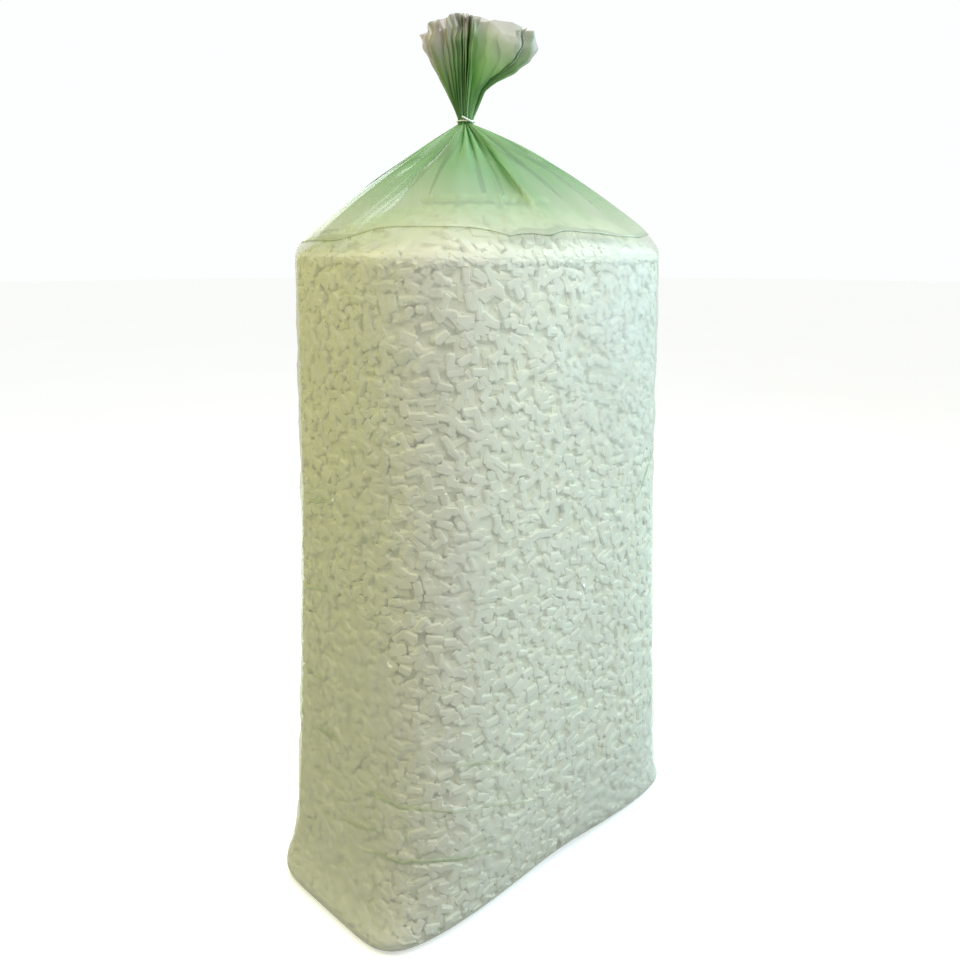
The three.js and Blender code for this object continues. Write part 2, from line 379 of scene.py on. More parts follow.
def film_material():
    """Thin blown film. The attribute "gather" is 0 where the film hugs the fill, 1 at the tie and 2 at the rim, and
    sets how green and how cloudy a layer is."""
    made, nodes, links, output = new_material("green_film")
    where = nodes.new("ShaderNodeTexCoord").outputs["Object"]
    along = nodes.new("ShaderNodeUVMap")
    along.uv_map = "film_uv"
    gather = nodes.new("ShaderNodeAttribute")
    gather.attribute_name = "gather"

    def maths(operation, *values, clamp=False):
        return maths_node(nodes, links, operation, *values, clamp=clamp)

    def ramp(source, *stops):
        return ramp_node(nodes, links, source, stops)

    def noise(source, *settings):
        return noise_node(nodes, links, source, *settings)

    # Layers lie unevenly over each other where the film is gathered, so some stripes are greener.
    level = maths("MULTIPLY", gather.outputs["Fac"], 0.5)
    gathered = ramp(level, (0.02, 0.0), (0.20, 1.0))
    slack = ramp(level, (0.0, 1.0), (0.03, 0.0))
    stripe = maths("SUBTRACT", noise(along.outputs["UV"], 1.0, 2, (7, 0.6, 1)), 0.5)
    stripe = maths("MULTIPLY", stripe, gathered)
    # Drag lines. The way round is counted from the middle of one end, negative on the side behind it.
    split = nodes.new("ShaderNodeSeparateXYZ")
    links.new(along.outputs["UV"], split.inputs["Vector"])
    beyond = maths("GREATER_THAN", split.outputs["X"], 0.72 * float(GIRTH))
    around = maths("MULTIPLY_ADD", beyond, -float(GIRTH), split.outputs["X"])
    place = nodes.new("ShaderNodeSeparateXYZ")
    links.new(where, place.inputs["Vector"])
    wobble = maths("SUBTRACT", noise(where, 16, 2), 0.5)
    height = maths("MULTIPLY_ADD", wobble, 0.022, place.outputs["Z"])
    lines = 0.0
    for round_at, height_at, run, rise, bow, strength in DRAG_LINES:
        beside = maths("MULTIPLY_ADD", around, 1 / run, -round_at / run)
        bent = maths("MULTIPLY_ADD", beside, bow, rise)
        over = maths("SUBTRACT", height, maths("MULTIPLY_ADD", bent, beside, height_at))
        ridge = maths("MULTIPLY_ADD", maths("ABSOLUTE", over), -1 / 0.0055, 1.0, clamp=True)
        fade = maths("SUBTRACT", 1.0, maths("MULTIPLY", beside, beside), clamp=True)
        lines = maths("MULTIPLY_ADD", maths("MULTIPLY", ridge, fade), strength, lines)
    lines = maths("MULTIPLY", lines, slack)

    # Fine level crinkles, most of them near the top of the long side and low on the end.
    crinkle = noise(where, 15, 3, (1, 1, 2.6), (0.05, 0.08, 0.0))
    aside = maths("MULTIPLY_ADD", around, 1 / 0.26, -0.70 / 0.26)
    above = maths("MULTIPLY_ADD", place.outputs["Z"], 1 / 0.22, -1.08 / 0.22)
    loose = maths("SUBTRACT", 1.0, maths("MULTIPLY", aside, aside))
    loose = maths("SUBTRACT", loose, maths("MULTIPLY", above, above), clamp=True)
    elsewhere = ramp(noise(where, 2.6, 1), (0.58, 0.0), (0.74, 0.8))
    loose = maths("MULTIPLY", maths("MAXIMUM", loose, elsewhere), slack)
    crinkle = maths("MULTIPLY", crinkle, loose)

    # Along the drag lines the film's colour moves on along the ramps to a darker green: partly the film gathered in the
    # crease, partly painted shade in the crease.
    shade = maths("MULTIPLY_ADD", lines, 0.20, maths("MULTIPLY_ADD", stripe, 0.42, level))
    tint = ramp(
        shade,
        (0.00, (0.82, 0.82, 0.75)),
        (0.04, (0.80, 0.82, 0.72)),
        (0.14, (0.70, 0.75, 0.59)),
        (0.32, (0.44, 0.64, 0.38)),
        (0.48, (0.40, 0.67, 0.35)),
        (0.62, (0.26, 0.52, 0.17)),
        (0.85, (0.46, 0.62, 0.34)),
        (1.00, (0.72, 0.69, 0.65)),
    )
    haze = ramp(
        shade,
        (0.00, (0.64, 0.66, 0.61)),
        (0.10, (0.55, 0.58, 0.47)),
        (0.30, (0.33, 0.48, 0.29)),
        (0.48, (0.31, 0.54, 0.26)),
        (0.62, (0.12, 0.30, 0.07)),
        (0.80, (0.26, 0.42, 0.18)),
        (0.93, (0.48, 0.50, 0.42)),
        (1.00, (0.56, 0.52, 0.50)),
    )
    patch = ramp(noise(where, 6, 3), (0.46, 0.0), (0.78, 0.08))
    cover = ramp(level, (0.00, 0.24), (0.03, 0.30), (0.08, 0.46), (0.35, 0.42), (0.50, 0.60), (0.65, 0.50), (1.00, 0.44))
    # The film is cloudier round the ends, near the top, where it is loose and along its drag lines.
    ends = ramp(maths("ABSOLUTE", place.outputs["X"]), (0.34, 0.0), (0.45, 0.13))
    top = ramp(place.outputs["Z"], (1.14, 0.0), (1.26, 0.17))
    cloud = maths("MULTIPLY", maths("MAXIMUM", ends, top), slack)
    cloud = maths("MULTIPLY_ADD", loose, 0.16, maths("MULTIPLY_ADD", lines, 0.16, cloud))
    amount = maths("ADD", maths("ADD", cover, patch), cloud, clamp=True)

    lumps = maths("MULTIPLY", noise(where, 48, 1), slack)

    folds = 0.0
    for round_at, width, strength in CONE_FOLDS:
        beside = maths("ABSOLUTE", maths("SUBTRACT", around, round_at))
        ridge = maths("MULTIPLY_ADD", beside, -1 / width, 1.0, clamp=True)
        folds = maths("MULTIPLY_ADD", ridge, strength, folds)
    streaks = noise(along.outputs["UV"], 1.0, 3, (46, 3.0, 1))
    folds = maths("MULTIPLY", maths("MULTIPLY_ADD", streaks, 0.8, folds), gathered)

    relief = maths("MULTIPLY_ADD", lumps, 0.12, maths("MULTIPLY", lines, 1.1))
    relief = maths("MULTIPLY_ADD", crinkle, 1.8, relief)
    relief = maths("ADD", relief, folds)
    bump = bump_node(nodes, links, relief, 0.0026, 0.8)

    skin = nodes.new("ShaderNodeBsdfPrincipled")
    links.new(ramp(level, (0.02, 0.40), (0.08, 0.22), (0.45, 0.24), (0.60, 0.36)), skin.inputs["Roughness"])
    skin.inputs["Specular IOR Level"].default_value = 0.6
    links.new(haze, skin.inputs["Base Color"])
    links.new(bump, skin.inputs["Normal"])
    clear = nodes.new("ShaderNodeBsdfTransparent")
    links.new(tint, clear.inputs["Color"])
    mix = nodes.new("ShaderNodeMixShader")
    links.new(amount, mix.inputs["Fac"])
    links.new(clear.outputs["BSDF"], mix.inputs[1])
    links.new(skin.outputs["BSDF"], mix.inputs[2])
    links.new(mix.outputs["Shader"], output.inputs["Surface"])
    return made


def wire_material(colour):
    """Coated wire: pale, a little glossy, with faint scuffs."""
    made, nodes, links, output = new_material("coated_wire")
    where = nodes.new("ShaderNodeTexCoord").outputs["Object"]
    scuffs = noise_node(nodes, links, where, 400, 3)
    base = ramp_node(nodes, links, scuffs, ((0.35, tuple(c * 0.8 for c in colour)), (0.6, tuple(colour))))
    rough = ramp_node(nodes, links, scuffs, ((0.3, 0.35), (0.7, 0.5)))
    skin = nodes.new("ShaderNodeBsdfPrincipled")
    links.new(base, skin.inputs["Base Color"])
    links.new(rough, skin.inputs["Roughness"])
    links.new(bump_node(nodes, links, scuffs, 0.0003, 0.4), skin.inputs["Normal"])
    links.new(skin.outputs["BSDF"], output.inputs["Surface"])
    return made


# ---- The film


def fold_centres(rng, count, jitter):
    """Places round the film, from 0 to 1, at uneven distances."""
    return (np.arange(count) + 0.5 + rng.uniform(-jitter, jitter, count)) / count


def wrapped(x):
    """A share of the way round, as a signed distance from nought."""
    return (x + 0.5) % 1 - 0.5


def film_columns(count, centres, widths, phase_at):
    """Shares of the way round for the film's columns, closer together at the pleats and in the tucks."""
    fine = np.linspace(0, 1, 8192, endpoint=False)
    near = np.exp(-((wrapped(fine[:, None] - centres) / (1.6 * widths)) ** 2)).sum(-1)
    tucked = np.abs(np.sin(math.pi * phase_at(fine))) ** 4
    walked = np.concatenate(([0], np.cumsum(1 + 0.9 * np.minimum(near, 1) + 1.3 * tucked)))
    walked /= walked[-1]
    return np.interp(np.arange(count) / count, walked, np.linspace(0, 1, 8193))


def cone_point(angle, share, shrink, lift):
    """The cone of film between the shoulder and the tie. Share is the way up, shrink pulls folds in towards the
    middle, and lift moves points off the surface."""
    half_length, half_width, squareness = BODY[-1, 1:]

    def surface(turned, level):
        level = np.clip(level, 0, 1)
        reach = oval(half_length, half_width, squareness, turned) * (1 - level) + NECK_RADIUS * level
        puff = CONE_PUFF * np.maximum(np.cos(turned - RUFFLE_TURN), 0) ** 2 * np.sin(math.pi * level**2.2)
        reach = reach * (1 - shrink) + puff
        z = SHOULDER + (NECK_BOTTOM - SHOULDER) * level**CONE_BULGE
        return np.stack((NECK_X * level + reach * np.cos(turned), NECK_Y * level + reach * np.sin(turned), z), -1)

    here = surface(angle, share)
    around = surface(angle + 0.01, share) - surface(angle - 0.01, share)
    low = np.clip(share - 0.01, 0.0005, 1)
    up = surface(angle, low + 0.01) - surface(angle, low)
    normal = np.cross(around, up)
    normal /= np.maximum(np.linalg.norm(normal, axis=-1, keepdims=True), 1e-9)
    return here + normal * lift[..., None]


# Outline of the ruffle, from the tie to the rim: reach and height above the tie, to the right, to the left and
# across it.
RIGHT_OUTLINE = np.array(
    ((0.015, 0.005), (0.027, 0.030), (0.038, 0.053), (0.060, 0.068), (0.090, 0.082), (0.118, 0.100), (0.128, 0.126), (0.124, 0.150))
)
LEFT_OUTLINE = np.array(((0.015, 0.005), (0.022, 0.022), (0.036, 0.050), (0.049, 0.074), (0.060, 0.100), (0.075, 0.124), (0.082, 0.148)))
ACROSS_OUTLINE = np.array(((0.015, 0.005), (0.017, 0.025), (0.024, 0.060), (0.033, 0.105), (0.042, 0.142), (0.046, 0.172)))


def along_outline(outline, share):
    """Reach and height at an even share of the way along an outline."""
    step = np.hypot(*np.diff(outline, axis=0).T)
    walked = np.concatenate(([0], np.cumsum(step))) / step.sum()
    return np.interp(share, walked, outline[:, 0]), np.interp(share, walked, outline[:, 1])


def ruffle_point(fan, share, fold, depth):
    """A point on the ruffle: fan is the angle in its plan, 0 to the right. Folds go in by a share of the reach."""
    rightness = smooth((1 + np.cos(fan) * 1.3) / 2)
    across = np.abs(np.sin(fan)) ** 1.5
    right, right_up = along_outline(RIGHT_OUTLINE, share)
    left, left_up = along_outline(LEFT_OUTLINE, share)
    side, side_up = along_outline(ACROSS_OUTLINE, share)
    length = np.where(np.cos(fan) > 0, right, left)
    reach = oval(length, side, 2.2, fan) * (1 - depth * fold)
    end_up = right_up * rightness + left_up * (1 - rightness)
    up = end_up * (1 - across) + side_up * across
    up = up + 0.008 * share**2 * np.exp(-(((np.arccos(np.cos(fan)) - 0.9) / 0.5) ** 2))
    turned = fan + RUFFLE_TURN
    return np.stack((NECK_X + reach * np.cos(turned), NECK_Y + reach * np.sin(turned), TIE_HEIGHT + up), -1)


def film_points(settings):
    """Rows of points on the film from its base to its rim, the "gather" of each, and the share of the way round of each
    column.
    """
    rng = np.random.default_rng(SEED)
    laps = 7
    centres = fold_centres(rng, laps, 0.33)
    widths = rng.uniform(0.016, 0.030, laps)
    sides = rng.choice((-1, 1), laps)
    strength = rng.uniform(0.5, 0.95, laps)
    folds = 33
    wander = [(k, rng.uniform(0.2, 0.5), rng.uniform(0, TAU)) for k in (2, 3, 5)]

    def phase_at(share):
        return folds * share + sum(size * np.sin(TAU * k * share + start) for k, size, start in wander)

    u = film_columns(settings.columns, centres, widths, phase_at)
    angle = angle_at(u)

    # Sharper folds that draw in towards the tie and open out in the ruffle, uneven in width and depth.
    phase = phase_at(u)
    fold = 1 - np.abs(np.cos(math.pi * phase)) ** 0.8
    tuck = np.abs(np.sin(math.pi * phase)) ** 9
    fold_size = np.interp(phase, np.arange(-3, folds + 5), rng.uniform(0.7, 1.0, folds + 8))
    fold_size = fold_size + (fold_size[0] - fold_size) * smooth((u - 0.97) / 0.03)
    fold, tuck = fold * fold_size, tuck * fold_size

    rows, gathers = [], []

    def add(points, gather):
        rows.append(points)
        gathers.append(np.broadcast_to(gather, u.shape).astype(float))

    # Base: flat on the floor, then the rounded edge.
    rounding = base_rounding(angle)
    under = body_reach(np.zeros_like(angle), angle, rounding)
    for share in (0.12, 0.3, 0.5, 0.7, 0.86, 0.95):
        reach = under * share
        add(np.stack((reach * np.cos(angle), reach * np.sin(angle), np.full_like(angle, 0.0003)), -1), 0)
    for turn in np.linspace(0, math.pi / 2, 10):
        z = rounding * (1 - np.cos(turn)) + 0.0003
        reach = body_reach(z, angle, rounding * (1 - np.sin(turn)))
        add(np.stack((reach * np.cos(angle), reach * np.sin(angle), z), -1), 0)

    # Sides, pushed out by the fill.
    for share in np.linspace(0, 1, settings.side_rows + 1)[1:]:
        z = rounding + (SHOULDER - rounding) * share
        reach = body_reach(z, angle, 0)
        points = np.stack((reach * np.cos(angle), reach * np.sin(angle), z), -1)
        push = 0.55 * ripples(points, 0.085, 5) + 0.45 * ripples(points, 0.042, 6)
        fade = smooth(share / 0.05) * smooth((1.002 - share) / 0.03)
        reach = reach + settings.lump * (0.35 + push) * fade
        add(np.stack((reach * np.cos(angle), reach * np.sin(angle), z), -1), 0)

    # Cone, from the shoulder to the crease over the edge of the fill, and from there to the tie.
    wave = np.stack((np.cos(angle), np.sin(angle), 0 * angle), -1)
    crease = 0.078 + 0.016 * ripples(wave, 1.1, 8) + 0.012 * ripples(wave, 0.45, 18)
    dip = wrapped(u - 0.168) / 0.022
    crease = crease - 0.034 * np.exp(-np.abs(dip) ** 1.3)
    lap_share = settings.crease_lap / 0.33
    overlap = 0.55 + 0.45 * np.clip(ripples(wave, 0.8, 28), -1, 1)

    def lapped(level):
        """Angles and lifts of a row of the cone, with its pleats lapped."""
        grown = smooth((level - 0.02) / 0.5)
        x = wrapped(u[:, None] - centres) / widths * sides
        pull = -x * np.exp(-(x**2) / 2) * widths * sides * strength
        turned = angle_at(u + 2.6 * grown * pull.sum(-1))
        under_lap = smooth((x + 1.1) / 2.2) * np.exp(-(np.maximum(x, 0) ** 2) / 9)
        lift = -settings.lap_depth * grown * (1 - 0.75 * smooth((level - 0.6) / 0.4)) * (under_lap * strength).sum(-1)
        return turned, lift

    def cone_row(level, extra, gather):
        turned, lift = lapped(np.mean(level))
        steps = np.mean(level)
        gathered = 0.72 * smooth((steps - 0.42) / 0.58) ** 1.5
        broad = 0.045 * math.sin(math.pi * min(1, steps)) * (0.4 + ripples(wave, 0.6, 9))
        points = cone_point(turned, level, gathered * fold + np.maximum(broad, 0), lift + extra)
        add(points, gather)

    for share in np.linspace(0, 1, 6)[1:]:
        cone_row(crease * share, 0.0 * u, 0.02)
    cone_row(crease + 0.3 * lap_share * overlap, -0.0010 + 0 * u, 0.05)
    cone_row(crease - 0.5 * lap_share * overlap, 0.0010 + 0 * u, 0.16)
    cone_row(crease - 0.7 * lap_share * overlap, 0.0016 + 0 * u, 0.20)
    for share in np.linspace(0, 1, 54) ** 1.15:
        level = crease - 0.5 * lap_share * overlap + (1 - crease + 0.5 * lap_share * overlap) * share
        cone_row(level, 0.0020 * (1 - smooth(share / 0.2)) + 0 * u, 0.20 + 0.80 * share**0.9)

    # Neck, then the ruffle.
    turned, _ = lapped(1.0)
    last = rows[-1]
    for share in (0.33, 0.66):
        add(last + np.array((0, 0, (NECK_TOP - NECK_BOTTOM) * share)), 1.0)
    fan = turned - RUFFLE_TURN
    fan = fan + 0.25 * np.sin(fan) + 0.22 * np.sin(2 * fan)
    broad_flap = smooth((np.cos(fan - 0.2) + 0.15) / 0.9)
    small_flap = smooth((-np.cos(fan) - 0.25) / 0.6)
    for share in np.linspace(0, 1, 44):
        open_fan = fan + 0.25 * math.sin(math.pi * share * 0.5)
        opened = smooth(share / 0.6)
        depth = 0.76 + opened * (0.22 - 0.80 * broad_flap - 0.72 * small_flap)
        points = ruffle_point(open_fan, share, fold * (1 - opened) + tuck * opened, depth)
        shake = smooth((share - 0.35) / 0.65)
        points[:, 2] += shake * (0.004 * ripples(points, 0.09, 12) - 0.001 * tuck)
        points[:, :2] += (shake * 0.003 * ripples(points, 0.035, 13))[:, None] * np.stack((np.cos(turned), np.sin(turned)), -1)
        add(points, 1.0 + share ** (1.7 - 1.0 * broad_flap - 0.9 * small_flap))
    return np.array(rows), np.array(gathers), u


def film_mesh(settings):
    rows, gathers, u = film_points(settings)
    count, columns = rows.shape[:2]
    step = np.linalg.norm(np.diff(rows, axis=0), axis=-1).mean(1)
    walked = np.concatenate(([0.1], 0.1 + np.cumsum(step)))
    points = np.concatenate((rows.reshape(-1, 3), [[0, 0, 0.0003]]))
    i, j = np.meshgrid(np.arange(columns), np.arange(count - 1))
    beside = (i + 1) % columns
    quads = np.stack((j * columns + i, j * columns + beside, (j + 1) * columns + beside, (j + 1) * columns + i), -1)
    quads = quads.reshape(-1, 4)
    film = mesh_object("film_sack", points, quads)
    mesh = film.data

    # The base closes on one point in the middle.
    deselect_all()
    gather = mesh.attributes.new("gather", "FLOAT", "POINT")
    gather.data.foreach_set("value", np.concatenate((gathers.ravel(), [0])).astype(np.float32))
    uv = mesh.uv_layers.new(name="film_uv")
    across = np.stack((u[i], np.append(u, 1)[i + 1], np.append(u, 1)[i + 1], u[i]), -1).reshape(-1)
    up = np.stack((walked[j], walked[j], walked[j + 1], walked[j + 1]), -1).reshape(-1)
    uv.data.foreach_set("uv", np.stack((across * GIRTH, up), -1).astype(np.float32).ravel())
    return film, rows


def close_base(film, columns):
    """Fills the hole under the base with a fan of triangles on its middle point."""
    import bmesh

    sheet = bmesh.new()
    sheet.from_mesh(film.data)
    sheet.verts.ensure_lookup_table()
    middle = sheet.verts[len(sheet.verts) - 1]
    for i in range(columns):
        face = sheet.faces.new((sheet.verts[(i + 1) % columns], sheet.verts[i], middle))
        face.smooth = True
    sheet.to_mesh(film.data)
    sheet.free()


# ---- The peanuts


def near_pairs(x, y, reach, width):
    """Pairs of discs that may touch, on a plane that wraps round at a width."""
    across = max(1, int(width / reach))
    column = np.floor(x % width / width * across).astype(int) % across
    row = np.floor(y / reach).astype(int) + 2
    cell = row * across + column
    order = np.argsort(cell, kind="stable")
    sorted_cells = cell[order]
    firsts, seconds = [], []
    for down in (-1, 0, 1):
        for aside in (-1, 0, 1):
            other = (row + down) * across + (column + aside) % across
            start = np.searchsorted(sorted_cells, other, "left")
            end = np.searchsorted(sorted_cells, other, "right")
            for k in range(int((end - start).max())):
                there = np.nonzero(start + k < end)[0]
                match = order[start[there] + k]
                keep = match > there
                firsts.append(there[keep])
                seconds.append(match[keep])
    return np.concatenate(firsts), np.concatenate(seconds)


def scatter(rng, count, width, height, thick, long, inside=None, rounds=60):
    """Lays peanuts at random on a plane that wraps round at its width, and pushes them apart until they lie side
    by side. Each is three discs in a line. Gives places, angles and leans."""
    x, y = rng.uniform(0, width, count), rng.uniform(0, height, count)
    lying = rng.random(count)
    turn = np.where(lying < 0.55, 0, np.where(lying < 0.78, math.pi / 2, rng.uniform(0, math.pi, count)))
    turn = turn + rng.normal(0, 0.22, count)
    lean = np.abs(rng.normal(0, 0.12, count))
    lean = np.where(rng.random(count) < 0.12, rng.uniform(0.9, 1.5, count), lean) * rng.choice((-1, 1), count)
    arm = 0.5 * (long - thick) * np.cos(lean)
    for _ in range(rounds):
        ends = np.concatenate((-arm, 0 * arm, arm))
        turns = np.tile(turn, 3)
        disc_x = np.tile(x, 3) + ends * np.cos(turns)
        disc_y = np.tile(y, 3) + ends * np.sin(turns)
        first, second = near_pairs(disc_x, disc_y, thick, width)
        apart_x = disc_x[first] - disc_x[second]
        apart_x -= width * np.round(apart_x / width)
        apart_y = disc_y[first] - disc_y[second]
        gap = np.hypot(apart_x, apart_y) + 1e-9
        touching = (gap < thick) & (first % count != second % count)
        first, second = first[touching], second[touching]
        size = 0.3 * (thick - gap[touching]) / gap[touching]
        push_x, push_y = size * apart_x[touching], size * apart_y[touching]
        for disc, sign in ((first, 1), (second, -1)):
            owner = disc % count
            np.add.at(x, owner, sign * push_x)
            np.add.at(y, owner, sign * push_y)
            twist = ends[disc] * (np.cos(turns[disc]) * push_y - np.sin(turns[disc]) * push_x) * sign
            np.add.at(turn, owner, twist / (thick * long))
        y = np.clip(y, 0, height)
        if inside is not None:
            x, y = inside(x, y)
    return x, y, turn, lean


def peanut_shape(settings, facets, rounded):
    """One foam peanut modelled along X: a short cylinder, with soft ends if rounded. Returns its points and faces."""
    deselect_all()
    bpy.ops.mesh.primitive_cylinder_add(
        vertices=facets, radius=settings.diameter / 2, depth=settings.length, rotation=(0, math.pi / 2, 0)
    )
    peanut = bpy.context.object
    settle_in_place(peanut)
    bpy.ops.object.mode_set(mode="EDIT")
    if rounded:
        bpy.ops.mesh.select_all(action="DESELECT")
        bpy.ops.object.mode_set(mode="OBJECT")
        for edge in peanut.data.edges:
            ends = [peanut.data.vertices[v].co.x for v in edge.vertices]
            edge.select = abs(ends[0] - ends[1]) < 1e-5
        bpy.ops.object.mode_set(mode="EDIT")
        bpy.ops.mesh.select_mode(type="EDGE")
        bpy.ops.mesh.bevel(offset=settings.bevel, segments=1)
    bpy.ops.mesh.select_all(action="SELECT")
    bpy.ops.mesh.quads_convert_to_tris(quad_method="BEAUTY", ngon_method="BEAUTY")
    bpy.ops.mesh.normals_make_consistent(inside=False)
    bpy.ops.object.mode_set(mode="OBJECT")
    mesh = peanut.data
    points = np.array([v.co[:] for v in mesh.vertices])
    faces = np.array([p.vertices[:] for p in mesh.polygons])
    bpy.data.objects.remove(peanut)
    bpy.data.meshes.remove(mesh)
    return points, faces


PRESSED_FLAT = 0.0042


def keep_inside(points, clear):
    """Draws in whatever stands out of the fill, at its rounded base, its sides and its dome."""
    z = np.maximum(points[..., 2], clear)
    angle, out = np.arctan2(points[..., 1], points[..., 0]), np.hypot(points[..., 0], points[..., 1])
    rounding = base_rounding(angle)
    drop = np.clip(rounding - z, 0, rounding - clear)
    set_in = rounding - np.sqrt((rounding - clear) ** 2 - drop**2)
    edge = body_reach(np.minimum(z, FILL_EDGE), angle, set_in)
    share = np.minimum(1, edge / np.maximum(out, 1e-9))
    x, y = points[..., 0] * share, points[..., 1] * share
    return np.stack((x, y, np.minimum(z, dome_point(x, y, clear)[..., 2])), -1)


def pour(name, shape, here, one, two, normal, turn, lean, rng, material, settings, sink):
    """Copies one peanut to every place, turned and leaning its own way, just under the film."""
    points, faces = shape
    flat = np.cos(turn)[:, None] * one + np.sin(turn)[:, None] * two
    axis = np.cos(lean)[:, None] * flat + np.sin(lean)[:, None] * normal
    aside = np.cross(axis, normal)
    aside /= np.linalg.norm(aside, axis=-1, keepdims=True)
    third = np.cross(axis, aside)
    spin = rng.uniform(0, TAU, len(here))[:, None]
    aside, third = np.cos(spin) * aside + np.sin(spin) * third, np.cos(spin) * third - np.sin(spin) * aside
    turned = np.stack((axis, aside, third), 1)
    size = np.stack(
        (rng.uniform(0.82, 1.12, len(here)), rng.uniform(0.9, 1.08, len(here)), rng.uniform(0.9, 1.08, len(here))), -1
    )
    stands = settings.length / 2 * size[:, 0] * np.abs(np.sin(lean)) + settings.diameter / 2 * np.cos(lean)
    copies = np.einsum("vk,nk,nkc->nvc", points, size, turned)

    # The film presses each one flat on its outer side, a little aslant.
    aslant = rng.normal(0, 0.034, (2, len(here), 1))
    along_one = np.einsum("nvc,nc->nv", copies, one)
    along_two = np.einsum("nvc,nc->nv", copies, two)
    out = np.einsum("nvc,nc->nv", copies, normal)
    pressed = (stands - PRESSED_FLAT)[:, None] + aslant[0] * along_one + aslant[1] * along_two
    copies -= np.maximum(out - pressed, 0)[..., None] * normal[:, None]
    deep = stands - PRESSED_FLAT + sink + 0.0003 + rng.uniform(0, 0.0008, len(here))
    copies += (here - normal * deep[:, None])[:, None]
    copies = keep_inside(copies, 0.0012)
    all_faces = faces[None] + (np.arange(len(here)) * len(points))[:, None, None]
    made = mesh_object(name, copies.reshape(-1, 3), all_faces.reshape(-1, faces.shape[1]), False)
    made.data.materials.append(material)
    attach(made, "root")
    return made


# ---- Operators


class PEANUTBAG_OT_film(bpy.types.Operator):
    """Makes the sack of film, from its flat base to the ruffle above the tie"""

    bl_idname = "peanutbag.film"
    bl_label = "Film sack"

    def execute(self, context):
        settings = context.scene.bag_film
        film, rows = film_mesh(settings)
        close_base(film, rows.shape[1])
        film.data.materials.append(film_material())
        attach(film, "root")
        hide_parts("film_bag")
        rim = np.linalg.norm(np.roll(rows[-1], -1, axis=0) - rows[-1], axis=-1).sum()
        print("rim length", round(float(rim), 3), "girth", round(float(GIRTH), 3))
        return {"FINISHED"}


